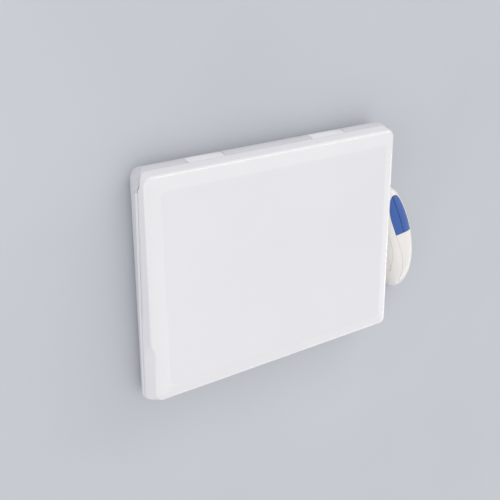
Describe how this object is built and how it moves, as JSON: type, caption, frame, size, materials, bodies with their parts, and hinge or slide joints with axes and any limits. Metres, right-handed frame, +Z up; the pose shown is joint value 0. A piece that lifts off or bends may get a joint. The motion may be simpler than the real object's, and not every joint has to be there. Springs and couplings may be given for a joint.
{
  "type": "toy laptop computer",
  "caption": "Toy laptop with a hinged lid over a sloping deck of sprung letter keys, a small screen in the lid, and a two-button mouse lying beside it.",
  "frame": {"origin": "middle of the footprint of laptop and mouse together, on the desk plane under the feet", "axes": "+X to the user's right, +Y to the hinge at the rear, +Z up; lid closed at rest"},
  "size_m": [0.3159, 0.2063, 0.035],
  "materials": {
    "base_grey": "light grey satin moulding",
    "board_green": "laminate",
    "cell_wrap": "plain sleeve",
    "chip_black": "moulded packages",
    "deck_white": "white satin moulding",
    "key_blue": "satin keycap",
    "key_white": "satin keycap",
    "lens_clear": "tinted clear moulding",
    "lid_white": "pearl gloss moulding",
    "mouse_blue": "blue moulding",
    "mouse_white": "warm white moulding",
    "panel_blue": "printed plastic sheet",
    "panel_white": "fine matt moulding",
    "rubber_grey": "moulded rubber",
    "rubber_mat": "silicone sheet",
    "screen_clear": "clear window",
    "screen_grey": "unlit display",
    "socket_black": "moulded",
    "speaker_black": "frame and cone",
    "steel": "plated",
    "strip_blue": "printed film",
    "switch_blue": "moulded slider"
  },
  "bodies": {
    "base": {"base_bottom_shell": "base_grey", "base_top_deck": "deck_white", "key_dome_mat": "rubber_mat", "main_board": "board_green", "board_components": "chip_black", "number_strip": "strip_blue", "speaker_driver": "speaker_black", "battery_contacts": "steel", "battery_cells": "cell_wrap", "rubber_feet": "rubber_grey", "base_screws": "steel", "mouse_socket": "socket_black", "hinge_pins": "steel"},
    "lid": {"lid_outer_shell": "lid_white", "lid_inner_frame": "panel_white", "lid_art_panel": "panel_blue", "lcd_bezel": "panel_white", "lcd_window": "screen_clear", "lcd_module": "screen_grey", "lcd_board": "board_green", "lid_screws": "steel"},
    "mouse": {"mouse_bottom_shell": "mouse_white", "mouse_palm_cover": "mouse_white", "mouse_board": "board_green", "mouse_lens": "lens_clear", "mouse_feet": "rubber_grey", "mouse_screws": "steel"},
    "left_button": {"mouse_left_button": "mouse_blue"},
    "right_button": {"mouse_right_button": "mouse_blue"},
    "power_switch": {"power_switch_knob": "switch_blue"},
    "battery_cover": {"battery_door": "base_grey", "battery_door_screw": "steel"},
    "key_q": {"key_q": "key_white"},
    "key_w": {"key_w": "key_white"},
    "key_e": {"key_e": "key_white"},
    "key_r": {"key_r": "key_white"},
    "key_t": {"key_t": "key_white"},
    "key_y": {"key_y": "key_white"},
    "key_u": {"key_u": "key_white"},
    "key_i": {"key_i": "key_white"},
    "key_o": {"key_o": "key_white"},
    "key_p": {"key_p": "key_white"},
    "key_a": {"key_a": "key_white"},
    "key_s": {"key_s": "key_white"},
    "key_d": {"key_d": "key_white"},
    "key_f": {"key_f": "key_white"},
    "key_g": {"key_g": "key_white"},
    "key_h": {"key_h": "key_white"},
    "key_j": {"key_j": "key_white"},
    "key_k": {"key_k": "key_white"},
    "key_l": {"key_l": "key_white"},
    "key_z": {"key_z": "key_white"},
    "key_x": {"key_x": "key_white"},
    "key_c": {"key_c": "key_white"},
    "key_v": {"key_v": "key_white"},
    "key_b": {"key_b": "key_white"},
    "key_n": {"key_n": "key_white"},
    "key_m": {"key_m": "key_white"},
    "key_enter": {"key_enter": "key_blue"},
    "key_space": {"key_space": "key_blue"}
  },
  "joints": [
    {"name": "lid_hinge", "type": "hinge", "parent": "base", "child": "lid", "pos_m": [-0.0254, 0.094, 0.014], "axis": [-1, 0, 0], "range_deg": [0, 110]},
    {"name": "mouse_travel", "type": "slide", "parent": "base", "child": "mouse", "axis": [0, 1, 0], "range_m": [-0.04, 0.04]},
    {"name": "mouse_left_click", "type": "hinge", "parent": "mouse", "child": "left_button", "pos_m": [0.13197, -0.0127, 0.0215], "axis": [-0.9804, -0.1968, 0], "range_deg": [0, 1.8], "stiffness_Nm_per_rad": 0.5},
    {"name": "mouse_right_click", "type": "hinge", "parent": "mouse", "child": "right_button", "pos_m": [0.13197, -0.0127, 0.0215], "axis": [-0.9804, -0.1968, 0], "range_deg": [0, 1.8], "stiffness_Nm_per_rad": 0.5},
    {"name": "power_slide", "type": "slide", "parent": "base", "child": "power_switch", "axis": [1, 0, 0], "range_m": [0, 0.0064]},
    {"name": "battery_cover_removal", "type": "slide", "parent": "base", "child": "battery_cover", "axis": [0, 0, -1], "range_m": [0, 0.015]},
    {"name": "key_q_press", "type": "slide", "parent": "base", "child": "key_q", "axis": [0, 0.034, -0.9994], "range_m": [0, 0.0012], "stiffness_N_per_m": 400},
    {"name": "key_w_press", "type": "slide", "parent": "base", "child": "key_w", "axis": [0, 0.034, -0.9994], "range_m": [0, 0.0012], "stiffness_N_per_m": 400},
    {"name": "key_e_press", "type": "slide", "parent": "base", "child": "key_e", "axis": [0, 0.034, -0.9994], "range_m": [0, 0.0012], "stiffness_N_per_m": 400},
    {"name": "key_r_press", "type": "slide", "parent": "base", "child": "key_r", "axis": [0, 0.034, -0.9994], "range_m": [0, 0.0012], "stiffness_N_per_m": 400},
    {"name": "key_t_press", "type": "slide", "parent": "base", "child": "key_t", "axis": [0, 0.034, -0.9994], "range_m": [0, 0.0012], "stiffness_N_per_m": 400},
    {"name": "key_y_press", "type": "slide", "parent": "base", "child": "key_y", "axis": [0, 0.034, -0.9994], "range_m": [0, 0.0012], "stiffness_N_per_m": 400},
    {"name": "key_u_press", "type": "slide", "parent": "base", "child": "key_u", "axis": [0, 0.034, -0.9994], "range_m": [0, 0.0012], "stiffness_N_per_m": 400},
    {"name": "key_i_press", "type": "slide", "parent": "base", "child": "key_i", "axis": [0, 0.034, -0.9994], "range_m": [0, 0.0012], "stiffness_N_per_m": 400},
    {"name": "key_o_press", "type": "slide", "parent": "base", "child": "key_o", "axis": [0, 0.034, -0.9994], "range_m": [0, 0.0012], "stiffness_N_per_m": 400},
    {"name": "key_p_press", "type": "slide", "parent": "base", "child": "key_p", "axis": [0, 0.034, -0.9994], "range_m": [0, 0.0012], "stiffness_N_per_m": 400},
    {"name": "key_a_press", "type": "slide", "parent": "base", "child": "key_a", "axis": [0, 0.034, -0.9994], "range_m": [0, 0.0012], "stiffness_N_per_m": 400},
    {"name": "key_s_press", "type": "slide", "parent": "base", "child": "key_s", "axis": [0, 0.034, -0.9994], "range_m": [0, 0.0012], "stiffness_N_per_m": 400},
    {"name": "key_d_press", "type": "slide", "parent": "base", "child": "key_d", "axis": [0, 0.034, -0.9994], "range_m": [0, 0.0012], "stiffness_N_per_m": 400},
    {"name": "key_f_press", "type": "slide", "parent": "base", "child": "key_f", "axis": [0, 0.034, -0.9994], "range_m": [0, 0.0012], "stiffness_N_per_m": 400},
    {"name": "key_g_press", "type": "slide", "parent": "base", "child": "key_g", "axis": [0, 0.034, -0.9994], "range_m": [0, 0.0012], "stiffness_N_per_m": 400},
    {"name": "key_h_press", "type": "slide", "parent": "base", "child": "key_h", "axis": [0, 0.034, -0.9994], "range_m": [0, 0.0012], "stiffness_N_per_m": 400},
    {"name": "key_j_press", "type": "slide", "parent": "base", "child": "key_j", "axis": [0, 0.034, -0.9994], "range_m": [0, 0.0012], "stiffness_N_per_m": 400},
    {"name": "key_k_press", "type": "slide", "parent": "base", "child": "key_k", "axis": [0, 0.034, -0.9994], "range_m": [0, 0.0012], "stiffness_N_per_m": 400},
    {"name": "key_l_press", "type": "slide", "parent": "base", "child": "key_l", "axis": [0, 0.034, -0.9994], "range_m": [0, 0.0012], "stiffness_N_per_m": 400},
    {"name": "key_z_press", "type": "slide", "parent": "base", "child": "key_z", "axis": [0, 0.034, -0.9994], "range_m": [0, 0.0012], "stiffness_N_per_m": 400},
    {"name": "key_x_press", "type": "slide", "parent": "base", "child": "key_x", "axis": [0, 0.034, -0.9994], "range_m": [0, 0.0012], "stiffness_N_per_m": 400},
    {"name": "key_c_press", "type": "slide", "parent": "base", "child": "key_c", "axis": [0, 0.034, -0.9994], "range_m": [0, 0.0012], "stiffness_N_per_m": 400},
    {"name": "key_v_press", "type": "slide", "parent": "base", "child": "key_v", "axis": [0, 0.034, -0.9994], "range_m": [0, 0.0012], "stiffness_N_per_m": 400},
    {"name": "key_b_press", "type": "slide", "parent": "base", "child": "key_b", "axis": [0, 0.034, -0.9994], "range_m": [0, 0.0012], "stiffness_N_per_m": 400},
    {"name": "key_n_press", "type": "slide", "parent": "base", "child": "key_n", "axis": [0, 0.034, -0.9994], "range_m": [0, 0.0012], "stiffness_N_per_m": 400},
    {"name": "key_m_press", "type": "slide", "parent": "base", "child": "key_m", "axis": [0, 0.034, -0.9994], "range_m": [0, 0.0012], "stiffness_N_per_m": 400},
    {"name": "key_enter_press", "type": "slide", "parent": "base", "child": "key_enter", "axis": [0, 0.034, -0.9994], "range_m": [0, 0.0012], "stiffness_N_per_m": 400},
    {"name": "key_space_press", "type": "slide", "parent": "base", "child": "key_space", "axis": [0, 0.034, -0.9994], "range_m": [0, 0.0012], "stiffness_N_per_m": 400}
  ]
}
